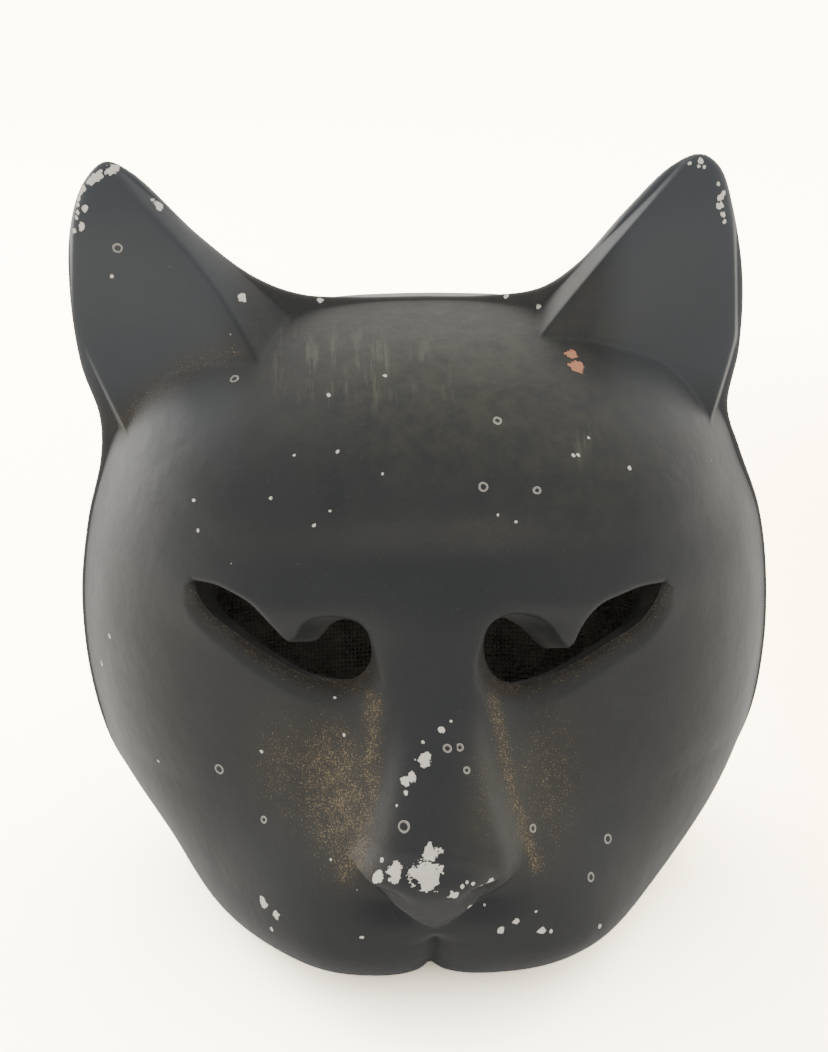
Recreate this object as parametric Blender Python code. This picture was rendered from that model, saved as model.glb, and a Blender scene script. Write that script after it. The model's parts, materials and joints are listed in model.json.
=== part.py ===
"""A hollow plaster cat head, cast in two halves.

The head is a front shell with the face and a back shell, joined on a flat parting plane.
Inside it holds scrim linings, bandages across the joint, and a wire in each ear.
Design frame, in millimetres: x to the right as seen from in front, y towards the back,
z up from the table. The parting plane is y = 0 and the face's middle is x = 0.
"""
import math

import bmesh
import bpy
import numpy as np

MM = 0.001

# Driving dimensions, in millimetres
MIDDLE_Z = 86.0          # height of the line that the head is built around
DOME_DEPTH = 61.0        # parting plane to forehead
MUZZLE_DEPTH = 31.0      # how much further the muzzle comes forward
BACK_DEPTH = 74.0        # parting plane to the back of the skull
WALL = 9.0               # thickness of the cast
JOINT_GAP = 0.3          # between the two halves
LAYER_GAP = 0.45         # between layers laid on each other
LINING = 2.0             # thickness of the scrim linings
LINING_STARTS = 14.0     # distance of a lining's edge from the parting plane
BANDAGE = 2.4            # thickness of the bandages over the joint
BANDAGE_HALF_WIDTH = 13.4
FOOT_TRIM = 3.0          # linings and bandages stop this far above the table
EYE_TAPER = 0.5          # sideways run of an eye's walls for each unit of depth
EYE_RISE = -0.5          # upward run of them
WIRE_RADIUS = 1.2
WIRE_GROOVE = 1.6
FRONT_CUTS, BACK_CUTS, INSIDE_CUTS = 28, 18, 12
CENTRING = (-2.4, 12.0)  # moves the design frame so that the origin is under the middle

# Outlines at the parting plane, clockwise from the crown
WHOLE_OUTLINE = [
    (0, 176), (18, 176), (33, 178), (44, 185.5), (56.5, 200), (67.5, 211), (75, 214), (80.5, 210.5),
    (85, 199), (89, 180), (89.5, 160), (87.5, 143), (92, 130), (99, 112), (103, 90), (104, 65),
    (101, 42), (90, 18), (70, -2), (48, -8), (22, -11), (0, -12), (-20, -11), (-46, -8), (-66, -2),
    (-79.5, 16), (-92.5, 37), (-98, 60), (-99, 88), (-95.5, 112), (-90.5, 131), (-90, 143), (-94, 158),
    (-95.5, 178), (-94, 196), (-89.5, 208), (-83.5, 213.3), (-77, 210.5), (-60, 193.5), (-45.5, 182),
    (-33, 177), (-18, 176),
]
SKULL_OUTLINE = [
    (0, 176), (22, 175), (42, 171), (56, 166.5), (70.5, 160.5), (80, 151.5), (87, 140.5), (92, 128.5),
    (99, 112), (103, 90), (104, 65), (101, 42), (90, 18), (70, -2), (48, -8), (22, -11), (0, -12),
    (-20, -11), (-46, -8), (-66, -2), (-79.5, 16), (-92.5, 37), (-98, 60), (-99, 88), (-95.5, 112),
    (-90.5, 128.5), (-86, 140.5), (-80, 151.5), (-70.5, 160.5), (-56, 166.5), (-42, 171), (-22, 175),
]
# Each eye as seen from in front, from the outer corner along the upper lid
LEFT_EYE = [
    (-62, 113), (-60.6, 107.3), (-58.1, 103.8), (-55, 101.3), (-51.4, 98.9), (-48.4, 96.6), (-45.2, 94.6),
    (-41.3, 92.4), (-37.4, 90.3), (-33.5, 88.5), (-29.6, 87.5), (-25.6, 87.1), (-21.7, 87.7),
    (-18.8, 89.6), (-16.8, 92.6), (-16.1, 96), (-16.2, 99.8), (-17.3, 103.4), (-19.7, 105.9), (-23.3, 107),
    (-27.1, 107.5), (-30.4, 107.2), (-32.7, 105.7), (-34.1, 102.8), (-35.2, 100.7), (-37, 99.9),
    (-38.9, 101.3), (-41.7, 105), (-44.4, 108.2), (-47, 110.4), (-50.8, 112), (-56.1, 113.3),
]
RIGHT_EYE = [
    (61.5, 110.4), (60.2, 105.4), (58.4, 102), (56.1, 99.3), (52.8, 97), (48.6, 95.1), (45.3, 93.4),
    (41.2, 91.4), (37.3, 89.5), (32.1, 87.2), (26.9, 85.8), (21.5, 86), (17.2, 88.1), (14.8, 91),
    (13.3, 94.8), (12.7, 99), (13.3, 102.9), (15.2, 105.5), (18.3, 106.8), (21.9, 107), (25.7, 106.1),
    (29, 103.9), (31.3, 100.5), (33.3, 97.5), (35, 96.2), (36.7, 97.5), (38, 101.3), (40.4, 106.2),
    (43.6, 109), (49, 110.4), (54.6, 111.1),
]
# The front lining stops short of the eyes, at one plain outline each
LINING_LEFT_EYE = [
    (-66, 116), (-63, 105), (-53, 95.5), (-42, 88.5), (-31, 83.5), (-21, 83.5), (-14, 89), (-12, 98),
    (-15, 108), (-26, 111.5), (-40, 115), (-53, 117),
]
LINING_RIGHT_EYE = [
    (65.5, 113.5), (62, 102.5), (54, 93.5), (43, 88), (33, 83), (21, 82), (13, 86), (9, 95), (10.5, 106),
    (19, 111), (32, 112), (45, 114), (56, 115),
]
# Snout's top line: height above the table, distance in front of the parting plane
SNOUT_LINE = [
    (10, 20), (22, 52), (30, 72), (37, 86), (44, 94), (51, 95.5), (58, 93.5), (65, 90), (72, 85.5),
    (80, 79.5), (88, 72), (98, 63.5), (106, 58.5), (114, 53), (122, 45), (140, 20), (170, -20),
]
# Half the width of the snout's roof at each height
SNOUT_HALF_WIDTH = [
    (22, 6), (36, 11), (46, 17), (52, 17), (58, 15), (65, 13), (75, 11), (85, 10.5), (95, 10.5),
    (104, 13.5), (114, 21), (125, 33),
]
# Inner, outer and lower front edge of each ear, as two points each
EAR_EDGES = {
    -1: (((-46, 182.5), (-77, 210.8)), ((-94.5, 200), (-95.5, 178)), ((-96.5, 172), (-83.5, 136))),
    1: (((70.5, 213.2), (44, 185.5)), ((89.5, 160), (86, 200)), ((83, 135), (90.5, 169))),
}
EAR_WIRES = {
    "ear_wire_left": [(-54, 127), (-65, 141), (-74, 165), (-80, 192)],
    "ear_wire_right": [(56, 130), (66, 143), (72, 168), (75, 194)],
}

BLACK_PAINT = (0.045, 0.045, 0.047, 1.0)
BARE_PLASTER = (0.62, 0.58, 0.50, 1.0)
ZINC = (0.45, 0.46, 0.47, 1.0)


# Helpers for smooth shapes

def closed_curve(points, steps=24):
    """A smooth closed curve through the points."""
    p = np.array(points, float)
    pieces = []
    t = np.linspace(0, 1, steps, endpoint=False)[:, None]
    for i in range(len(p)):
        before, start, end, after = p[i - 1], p[i], p[(i + 1) % len(p)], p[(i + 2) % len(p)]
        a, b, c = (np.linalg.norm(q - r) ** 0.5 for q, r in ((start, before), (end, start), (after, end)))
        leave = (end - start) + b * ((start - before) / a - (end - before) / (a + b))
        arrive = (end - start) + b * ((after - end) / c - (after - start) / (b + c))
        pieces.append(
            (2 * t**3 - 3 * t**2 + 1) * start + (t**3 - 2 * t**2 + t) * leave
            + (3 * t**2 - 2 * t**3) * end + (t**3 - t**2) * arrive
        )
    return np.concatenate(pieces)


def profile(t, points):
    """A smooth line through (position, value) pairs, read at t."""
    x, y = np.array(points, float).T
    slope = np.gradient(y, x)
    t = np.clip(t, x[0], x[-1])
    i = np.clip(np.searchsorted(x, t) - 1, 0, len(x) - 2)
    h = x[i + 1] - x[i]
    s = (t - x[i]) / h
    rise = (3 * s**2 - 2 * s**3) * (y[i + 1] - y[i])
    return y[i] + rise + (s**3 - 2 * s**2 + s) * h * slope[i] + (s**3 - s**2) * h * slope[i + 1]


def soft_max(a, b, blend):
    h = np.clip(0.5 + 0.5 * (a - b) / blend, 0, 1)
    return b + (a - b) * h + blend * h * (1 - h)


def soft_min(a, b, blend):
    return -soft_max(-a, -b, blend)


def mound(x, z, x0, z0, rx, rz, power=1.0):
    return np.exp(-((((x - x0) / rx) ** 2 + ((z - z0) / rz) ** 2) ** power))


def ease(start, end, t):
    t = np.clip((t - start) / (end - start), 0, 1)
    return t * t * (3 - 2 * t)


def rounding(share, power):
    """1 in the middle, falling to 0 at the outline."""
    return np.sqrt(np.clip(1 - np.clip(share, 0, 1) ** power, 0, None))


# The head's form: depths in front of and behind the parting plane at (x, z)

def polar_table(points):
    curve = closed_curve(points)
    angle = np.arctan2(curve[:, 1] - MIDDLE_Z, curve[:, 0])
    order = np.argsort(angle)
    return angle[order], np.hypot(curve[:, 0], curve[:, 1] - MIDDLE_Z)[order]


SKULL_TABLE = polar_table(SKULL_OUTLINE)


def skull_radius(x, z):
    return np.interp(np.arctan2(z - MIDDLE_Z, x), *SKULL_TABLE, period=2 * math.pi)


def skull_share(x, z):
    return np.hypot(x, z - MIDDLE_Z) / skull_radius(x, z)


def face_dome(x, z, share):
    """Skull and muzzle without detail. Below the cheeks the dome falls off more slowly."""
    radius = np.maximum(np.hypot(x, z - MIDDLE_Z), 1e-6)
    low_z = np.where(z < 50, 50 - (50 - z) * 0.55, z)
    low_share = share * np.hypot(x, low_z - MIDDLE_Z) / radius
    dome = DOME_DEPTH * rounding(low_share, 2.3) + MUZZLE_DEPTH * mound(x, z, 0, 14, 62, 44, 1.7)
    return dome + 17 * mound(x, z, 0, 66, 30, 30, 1.2)


def eye_hollows(x, z):
    side = np.abs(x)
    return (
        5.0 * mound(side, z, 22, 92, 10, 15) + 3.0 * mound(side, z, 26, 68, 10, 18)
        + 3.0 * mound(side, z, 8, 121, 24, 9)
    )


def over(distance, blend):
    """How far past an edge, starting softly."""
    return 0.5 * (distance + np.sqrt(distance**2 + blend**2))


def snout(x, z):
    side = np.abs(x - 0.5)
    roof = 0.33 * (np.sqrt(side**2 + 14) - np.sqrt(14))
    return profile(z, SNOUT_LINE) - roof - 2.2 * over(side - profile(z, SNOUT_HALF_WIDTH), 3.0)


def nose_pad(x, z):
    """A bulb over an underside that tapers to a keel between the nostrils."""
    side = np.abs(x + 2)
    width = 17 - 0.5 * over(z - 52, 3)
    bulb = 101 - 0.022 * side**2 - 0.65 * over(48 - z, 2.5) - 2.4 * over(z - 55 + 0.012 * side**2, 4)
    bulb = bulb - 1.7 * over(side - width, 2.0) - 3 * over(29 - z, 2)
    keel = 0.85 * (z - 30)
    return bulb - 1.9 * over(np.abs(x + 1) - np.maximum(keel, 0), 1.2) * ease(49, 46, z)


def face_depth(x, z):
    """How far the face stands in front of the parting plane."""
    share = skull_share(x, z)
    side = np.abs(x)
    depth = face_dome(x, z, share) - eye_hollows(x, z)
    depth = depth + 2.0 * mound(side, z, 34, 137, 30, 16) + 4.5 * mound(side, z, 40, 109, 26, 9)
    depth = depth + 6.0 * mound(side, z, 30, 17, 23, 17) + 3.0 * mound(x, z, 47, 14, 14, 14)
    depth = depth - 5.5 * mound(side, z, 10, 39, 10, 6)
    middle = x + 1
    groove = 2.2 * np.exp(-((middle / 1.8) ** 2)) + 2.0 * np.exp(-np.abs(middle / 6) ** 1.5)
    depth = depth - groove * ease(31, 25, z)
    depth = depth - 2.5 * np.exp(-np.abs(middle / 5) ** 1.4) * ease(25, 8, z)
    depth = soft_max(depth, snout(x, z), 2.2)
    depth = soft_max(depth, nose_pad(x, z), 1.2)
    for nostril_x in (-13.5, 10.0):
        depth = depth - 4.5 * mound(x, z, nostril_x, 45.5, 3.6, 2.2)
    return np.where(share < 1, depth * rounding(share, 8), 0)


def distance_inside(x, z, edge):
    (x0, z0), (x1, z1) = edge
    length = math.hypot(x1 - x0, z1 - z0)
    return ((x - x0) * (z0 - z1) + (z - z0) * (x1 - x0)) / length


def ear_depth(x, z):
    """Each ear's front is a tilted face, hollowed between its edges."""
    depth = np.full(np.shape(x), -30.0)
    for side, edges in EAR_EDGES.items():
        inner, outer, lower = (distance_inside(x, z, edge) for edge in edges)
        across = np.clip(inner / np.maximum(inner + outer, 0.001), 0, 1)
        turn, slope, behind_edge = ((0.34, 0.21, 1.2) if side < 0 else (0.1, 0.18, 4.0))
        ear = 3.5 + slope * (213 - z) - turn * (x * side - 62) * ease(206, 160, z)
        ear = ear - 4.0 * ease(206, 165, z) * 4 * across * (1 - across)
        ear = soft_min(ear, behind_edge * inner + 1, 1.2)
        ear = soft_min(ear, 3.0 * outer + 1, 1.6)
        ear = soft_min(ear, 2.5 * lower + 1, 1.6)
        depth = np.where(x * side > 10, np.maximum(depth, ear), depth)
    return depth


def front_surface(x, z, share):
    """Nowhere thinner than a rim at the joint, which keeps the shell solid between ear and crown."""
    depth = face_depth(x, z)
    depth = np.where(z > 125, soft_max(depth, ear_depth(x, z), 2.0), depth)
    return -np.maximum(depth, 2.5) * rounding(share, 30)


def back_surface(x, z, share):
    dome = BACK_DEPTH * rounding(skull_share(x, z), 2.3)
    ear = (6 + 0.33 * (213 - z)) * ease(115, 140, z) * rounding(share, 5)
    return soft_max(dome, ear, 10) * rounding(share, 30)


def cavity_depth(x, z, share, inset):
    """The inside follows the outside loosely, and fills the point of the nose."""
    front = face_dome(x, z, share) - eye_hollows(x, z)
    front = soft_max(front, snout(x, z) - 8, 10.0)
    return np.maximum(front - inset, 0) * rounding(share, 8)


# Meshes

def ball_mesh(cuts):
    """A ball of quads, and its points as directions. An even count puts points on y = 0."""
    bm = bmesh.new()
    bmesh.ops.create_cube(bm, size=2.0)
    bmesh.ops.subdivide_edges(bm, edges=bm.edges[:], cuts=cuts - 1, use_grid_fill=True)
    corners = np.array([v.co[:] for v in bm.verts])
    directions = np.tan(corners * math.pi / 4)
    directions /= np.linalg.norm(directions, axis=1)[:, None]
    directions[np.abs(directions) < 1e-6] = 0
    return bm, directions


def place(bm, x, y, z):
    for vert, co in zip(bm.verts, np.stack([x, y, z], axis=1) * MM):
        vert.co = co
    bmesh.ops.triangulate(bm, faces=bm.faces[:], quad_method="FIXED")
    bmesh.ops.recalc_face_normals(bm, faces=bm.faces[:])
    for face in bm.faces:
        face.smooth = True
    return bm


def outer_ball(cuts):
    """The outside of the whole head, ears included."""
    bm, direction = ball_mesh(cuts)
    share = np.hypot(direction[:, 0], direction[:, 2])
    turn = (0.25 - np.arctan2(direction[:, 2], direction[:, 0]) / (2 * math.pi)) % 1
    curve = closed_curve(WHOLE_OUTLINE)
    curve = np.vstack([curve, curve[:1]])
    length = np.concatenate([[0], np.cumsum(np.linalg.norm(np.diff(curve, axis=0), axis=1))])
    length /= length[-1]
    x = share * np.interp(turn, length, curve[:, 0])
    z = MIDDLE_Z + share * (np.interp(turn, length, curve[:, 1]) - MIDDLE_Z)
    y = np.where(direction[:, 1] <= 0, front_surface(x, z, share), back_surface(x, z, share))
    return place(bm, x, y, z)


def inner_ball(cuts, layer):
    """The inside face of the cast, with a further layer taken off it."""
    bm, direction = ball_mesh(cuts)
    share = np.hypot(direction[:, 0], direction[:, 2])
    angle = np.arctan2(direction[:, 2], direction[:, 0])
    wall = WALL - 6 * np.clip(-np.sin(angle), 0, 1) ** 3
    radius = share * (np.interp(angle, *SKULL_TABLE, period=2 * math.pi) - wall - layer)
    x, z = radius * np.cos(angle), MIDDLE_Z + radius * np.sin(angle)
    front = -cavity_depth(x, z, share, WALL + layer)
    back = (BACK_DEPTH - WALL - layer) * rounding(share, 2.3)
    return place(bm, x, np.where(direction[:, 1] <= 0, front, back), z)


def cut_flat(bm, point, outward):
    """Cuts away the side that outward points to, and closes the cut with a flat face."""
    geom = bm.verts[:] + bm.edges[:] + bm.faces[:]
    co = [c * MM for c in point]
    bmesh.ops.bisect_plane(bm, geom=geom, dist=1e-7, plane_co=co, plane_no=outward, clear_outer=True)
    rim = [edge for edge in bm.edges if edge.is_boundary]
    bmesh.ops.holes_fill(bm, edges=rim, sides=0)
    bmesh.ops.recalc_face_normals(bm, faces=bm.faces[:])
    return bm


def new_object(name, bm, material=None):
    mesh = bpy.data.meshes.new(name)
    bm.to_mesh(mesh)
    bm.free()
    obj = bpy.data.objects.new(name, mesh)
    bpy.context.scene.collection.objects.link(obj)
    if material:
        mesh.materials.append(material)
    return obj


def cutter(name, bm):
    obj = new_object(name, bm)
    obj.hide_render = True
    obj.display_type = "WIRE"
    return obj


def boolean(obj, tool, operation="DIFFERENCE"):
    modifier = obj.modifiers.new(tool.name, "BOOLEAN")
    modifier.operation = operation
    modifier.solver = "EXACT"
    modifier.object = tool


def principled(name, color, roughness, metallic=0.0):
    material = bpy.data.materials.new(name)
    material.use_nodes = True
    shader = material.node_tree.nodes["Principled BSDF"]
    shader.inputs["Base Color"].default_value = color
    shader.inputs["Roughness"].default_value = roughness
    shader.inputs["Metallic"].default_value = metallic
    material.diffuse_color = color
    return material


# Cutters

def eye_cutter(name, outline, side):
    """A tapered plug: its walls run in towards the face's middle as they go deeper."""
    x, z = np.array(outline, float).T
    surface = -face_depth(x, z)
    bm = bmesh.new()
    rings = []
    for deeper in (-14.0, 36.0):
        ring_x = x - side * EYE_TAPER * deeper
        co = np.stack([ring_x, surface + deeper, z + EYE_RISE * deeper], axis=1) * MM
        rings.append([bm.verts.new(c) for c in co])
    count = len(outline)
    for i in range(count):
        j = (i + 1) % count
        bm.faces.new((rings[0][i], rings[0][j], rings[1][j], rings[1][i]))
    caps = [bm.faces.new(ring) for ring in rings]
    bmesh.ops.triangulate(bm, faces=caps)
    bmesh.ops.recalc_face_normals(bm, faces=bm.faces[:])
    return cutter(name, bm)


def rod_mesh(points, radius, sides=8, rise=0.0):
    """A bent rod of even section lying in the parting plane."""
    points = np.array([(x, 0.0, z) for x, z in points], float)
    bm = bmesh.new()
    rings = []
    for i, point in enumerate(points):
        along = points[min(i + 1, len(points) - 1)] - points[max(i - 1, 0)]
        along /= np.linalg.norm(along)
        across = np.array([-along[2], 0.0, along[0]])
        if i in (0, len(points) - 1):
            point = point + along * (rise if i else -rise)
        ring = []
        for k in range(sides):
            turn = 2 * math.pi * (k + 0.5) / sides
            offset = across * math.cos(turn) + np.array([0.0, math.sin(turn), 0.0])
            ring.append(bm.verts.new((point + radius * offset) * MM))
        rings.append(ring)
    for first, second in zip(rings, rings[1:]):
        for k in range(sides):
            n = (k + 1) % sides
            bm.faces.new((first[k], first[n], second[n], second[k]))
    bm.faces.new(rings[0])
    bm.faces.new(rings[-1])
    bmesh.ops.recalc_face_normals(bm, faces=bm.faces[:])
    return bm


def wedge_cutter(name, start_degrees, end_degrees):
    """A prism along y that holds one sector of the head seen from in front."""
    bm = bmesh.new()
    reach = 400.0
    angles = np.radians(np.linspace(start_degrees, end_degrees, 4))
    corners = [(0.0, MIDDLE_Z)]
    corners += [(reach * math.cos(a), MIDDLE_Z + reach * math.sin(a)) for a in angles]
    rings = [[bm.verts.new((x * MM, y * MM, z * MM)) for x, z in corners] for y in (-60.0, 60.0)]
    for i in range(len(corners)):
        j = (i + 1) % len(corners)
        bm.faces.new((rings[0][i], rings[0][j], rings[1][j], rings[1][i]))
    for ring in rings:
        bm.faces.new(ring)
    bmesh.ops.recalc_face_normals(bm, faces=bm.faces[:])
    return cutter(name, bm)


# The pieces

def half(bm, side, distance, foot):
    """Keeps the front (side -1) or back (side 1) of a ball, flat at the joint and at the foot."""
    cut_flat(bm, (0, side * distance, 0), (0, -side, 0))
    return cut_flat(bm, (0, 0, foot), (0, 0, -1))


def build_shells(material, cavity, eyes, grooves):
    front = new_object("front_shell", half(outer_ball(FRONT_CUTS), -1, JOINT_GAP / 2, 0), material)
    back = new_object("back_shell", half(outer_ball(BACK_CUTS), 1, JOINT_GAP / 2, 0), material)
    for shell in (front, back):
        boolean(shell, cavity)
        for groove in grooves:
            boolean(shell, groove)
    for eye in eyes:
        boolean(front, eye)


def build_linings(material):
    eyes = [
        eye_cutter("lining_eye_left", LINING_LEFT_EYE, -1),
        eye_cutter("lining_eye_right", LINING_RIGHT_EYE, 1),
    ]
    hollow = cutter("lining_hollow", inner_ball(INSIDE_CUTS, LAYER_GAP + LINING))
    for name, side in (("front_scrim_lining", -1), ("back_scrim_lining", 1)):
        solid = half(inner_ball(INSIDE_CUTS, LAYER_GAP), side, LINING_STARTS, FOOT_TRIM)
        lining = new_object(name, solid, material)
        boolean(lining, hollow)
        if side < 0:
            for eye in eyes:
                boolean(lining, eye)


def build_bandages(material):
    hollow = cutter("bandage_hollow", inner_ball(INSIDE_CUTS, LAYER_GAP + BANDAGE))
    sectors = {
        "seam_bandage_right": (-50, 38), "seam_bandage_crown": (50, 130), "seam_bandage_left": (142, 230),
    }
    for name, (start, end) in sectors.items():
        band = inner_ball(INSIDE_CUTS, LAYER_GAP)
        cut_flat(band, (0, BANDAGE_HALF_WIDTH, 0), (0, 1, 0))
        cut_flat(band, (0, -BANDAGE_HALF_WIDTH, 0), (0, -1, 0))
        cut_flat(band, (0, 0, FOOT_TRIM), (0, 0, -1))
        bandage = new_object(name, band, material)
        boolean(bandage, hollow)
        boolean(bandage, wedge_cutter(name + "_sector", start, end), "INTERSECT")


def build_ear_wires(material):
    grooves = []
    for name, route in EAR_WIRES.items():
        new_object(name, rod_mesh(route, WIRE_RADIUS), material)
        grooves.append(cutter(name + "_groove", rod_mesh(route, WIRE_GROOVE, rise=0.6)))
    return grooves


def centre_on_floor():
    for obj in bpy.data.objects:
        obj.location = (CENTRING[0] * MM, CENTRING[1] * MM, 0)


def main():
    for obj in list(bpy.data.objects):
        bpy.data.objects.remove(obj)
    paint = principled("black_painted_plaster", BLACK_PAINT, 0.45)
    plaster = principled("scrim_plaster", BARE_PLASTER, 0.9)
    zinc = principled("galvanised_wire", ZINC, 0.4, 1.0)
    cavity = cutter("cavity", inner_ball(INSIDE_CUTS, 0))
    eyes = [eye_cutter("eye_left", LEFT_EYE, -1), eye_cutter("eye_right", RIGHT_EYE, 1)]
    grooves = build_ear_wires(zinc)
    build_shells(paint, cavity, eyes, grooves)
    build_linings(plaster)
    build_bandages(plaster)
    centre_on_floor()


main()
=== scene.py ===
# %% [markdown]
# # A hollow plaster cat head
#
# The head is cast plaster under matt black paint: a front shell with the face, a back shell, and
# inside them scrim linings, bandages over the joint and a wire in each ear. The frame gives these
# pieces in plain, faceted form. This lesson models the two shells again as fine, smooth skins,
# and gives every piece its finish.

# %% Start from the frame
import json
import math

import bmesh
import bpy
import numpy as np
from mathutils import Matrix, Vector

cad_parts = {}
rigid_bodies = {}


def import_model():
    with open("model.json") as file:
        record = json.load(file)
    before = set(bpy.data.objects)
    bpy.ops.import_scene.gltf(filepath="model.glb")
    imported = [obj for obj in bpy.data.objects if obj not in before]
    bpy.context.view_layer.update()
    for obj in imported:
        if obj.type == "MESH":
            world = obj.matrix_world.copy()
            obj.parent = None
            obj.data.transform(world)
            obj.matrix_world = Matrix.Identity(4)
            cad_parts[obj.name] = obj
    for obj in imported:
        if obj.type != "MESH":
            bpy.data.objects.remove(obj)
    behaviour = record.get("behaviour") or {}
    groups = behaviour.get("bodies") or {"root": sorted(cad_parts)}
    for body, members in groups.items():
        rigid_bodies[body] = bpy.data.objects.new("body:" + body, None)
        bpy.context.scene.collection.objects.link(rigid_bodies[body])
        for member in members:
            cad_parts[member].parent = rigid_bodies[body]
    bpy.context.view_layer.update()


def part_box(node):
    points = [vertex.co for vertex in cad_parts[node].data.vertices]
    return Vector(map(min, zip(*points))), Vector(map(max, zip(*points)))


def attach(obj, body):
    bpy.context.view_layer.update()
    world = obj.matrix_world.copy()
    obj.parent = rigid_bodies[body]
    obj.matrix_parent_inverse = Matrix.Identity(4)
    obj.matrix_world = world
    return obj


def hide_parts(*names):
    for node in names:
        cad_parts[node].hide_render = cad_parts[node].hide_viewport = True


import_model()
MM = 0.001

# %% [markdown]
# ## Where the head stands
#
# A head is easiest to shape around its own planes, so lengths below are millimetres from three of
# them: the face's middle (x), the flat plane where the two shells meet (y, growing to the back)
# and the table (z). The shells themselves say where those planes are in the frame.

# %% The face's planes
front_low, front_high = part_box("front_shell")
JOINT_GAP = 0.3
FACE_MIDDLE = Vector((-2.4 * MM, front_high[1] + JOINT_GAP / 2 * MM, 0))
MIDDLE_Z = 86.0
WALL = 9.0
print("joint plane at y =", round(FACE_MIDDLE.y, 4))

# %% [markdown]
# ## The outlines
#
# Seen from in front, the joint runs round the whole silhouette, ears included. A second outline
# leaves the ears off: it is the skull. Both are a few points with a smooth closed curve through
# them, and they are a little uneven, left against right, as a hand-modelled head is.

# %% Outline points
WHOLE_OUTLINE = [
    (0, 176), (18, 176), (33, 178), (44, 185.5), (56.5, 200), (67.5, 211), (75, 214), (80.5, 210.5),
    (85, 199), (89, 180), (89.5, 160), (87.5, 143), (92, 130), (99, 112), (103, 90), (104, 65),
    (101, 42), (90, 18), (70, -2), (48, -8), (22, -11), (0, -12), (-20, -11), (-46, -8), (-66, -2),
    (-79.5, 16), (-92.5, 37), (-98, 60), (-99, 88), (-95.5, 112), (-90.5, 131), (-90, 143), (-94, 158),
    (-95.5, 178), (-94, 196), (-89.5, 208), (-83.5, 213.3), (-77, 210.5), (-60, 193.5), (-45.5, 182),
    (-33, 177), (-18, 176),
]
SKULL_OUTLINE = [
    (0, 176), (22, 175), (42, 171), (56, 166.5), (70.5, 160.5), (80, 151.5), (87, 140.5), (92, 128.5),
    (99, 112), (103, 90), (104, 65), (101, 42), (90, 18), (70, -2), (48, -8), (22, -11), (0, -12),
    (-20, -11), (-46, -8), (-66, -2), (-79.5, 16), (-92.5, 37), (-98, 60), (-99, 88), (-95.5, 112),
    (-90.5, 128.5), (-86, 140.5), (-80, 151.5), (-70.5, 160.5), (-56, 166.5), (-42, 171), (-22, 175),
]

# %% Curves through points
def smooth_run(points, steps):
    """A smooth curve through the inner points of a list; its end points only steer it."""
    p = np.array(points, float)
    t = np.linspace(0, 1, steps, endpoint=False)[:, None]
    pieces = []
    for before, start, end, after in zip(p, p[1:], p[2:], p[3:]):
        a, b, c = (np.linalg.norm(q - r) ** 0.5 for q, r in ((start, before), (end, start), (after, end)))
        leave = (end - start) + b * ((start - before) / a - (end - before) / (a + b))
        arrive = (end - start) + b * ((after - end) / c - (after - start) / (b + c))
        pieces.append(
            (2 * t**3 - 3 * t**2 + 1) * start + (t**3 - 2 * t**2 + t) * leave
            + (3 * t**2 - 2 * t**3) * end + (t**3 - t**2) * arrive
        )
    return np.concatenate(pieces)


def closed_curve(points, steps=24):
    return smooth_run(points[-1:] + points + points[:2], steps)


def profile(t, points):
    """A smooth line through (position, value) pairs, read at t."""
    x, y = np.array(points, float).T
    slope = np.gradient(y, x)
    t = np.clip(t, x[0], x[-1])
    i = np.clip(np.searchsorted(x, t) - 1, 0, len(x) - 2)
    h = x[i + 1] - x[i]
    s = (t - x[i]) / h
    rise = (3 * s**2 - 2 * s**3) * (y[i + 1] - y[i])
    return y[i] + rise + (s**3 - 2 * s**2 + s) * h * slope[i] + (s**3 - s**2) * h * slope[i + 1]


# %% The outlines as curves and as a table of radii
def polar_table(points):
    curve = closed_curve(points)
    angle = np.arctan2(curve[:, 1] - MIDDLE_Z, curve[:, 0])
    order = np.argsort(angle)
    return angle[order], np.hypot(curve[:, 0], curve[:, 1] - MIDDLE_Z)[order]


SKULL_TABLE = polar_table(SKULL_OUTLINE)
whole_curve = closed_curve(WHOLE_OUTLINE)
whole_curve = np.vstack([whole_curve, whole_curve[:1]])
whole_length = np.concatenate([[0], np.cumsum(np.linalg.norm(np.diff(whole_curve, axis=0), axis=1))])
print("joint line", round(whole_length[-1]), "mm long")

# %% [markdown]
# ## The form as depths
#
# A sculptor builds a face by adding and pressing in small volumes. Here each volume is a formula
# for how far the surface stands in front of the joint plane at a place (x, z): a dome, soft
# mounds for cheeks and lips, a long wedge for the snout. Soft maximum joins volumes as wet
# plaster does, with a fillet, and that is why it is used rather than a Boolean of solids.

# %% Small tools for shaping
def soft_max(a, b, blend):
    h = np.clip(0.5 + 0.5 * (a - b) / blend, 0, 1)
    return b + (a - b) * h + blend * h * (1 - h)


def soft_min(a, b, blend):
    return -soft_max(-a, -b, blend)


def mound(x, z, x0, z0, rx, rz, power=1.0):
    return np.exp(-((((x - x0) / rx) ** 2 + ((z - z0) / rz) ** 2) ** power))


def ease(start, end, t):
    t = np.clip((t - start) / (end - start), 0, 1)
    return t * t * (3 - 2 * t)


def rounding(share, power):
    """1 in the middle, falling to 0 at the outline."""
    return np.sqrt(np.clip(1 - np.clip(share, 0, 1) ** power, 0, None))


def skull_share(x, z):
    """How far out a place is: 0 in the middle, 1 on the skull's outline."""
    reach = np.interp(np.arctan2(z - MIDDLE_Z, x), *SKULL_TABLE, period=2 * math.pi)
    return np.hypot(x, z - MIDDLE_Z) / reach


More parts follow.
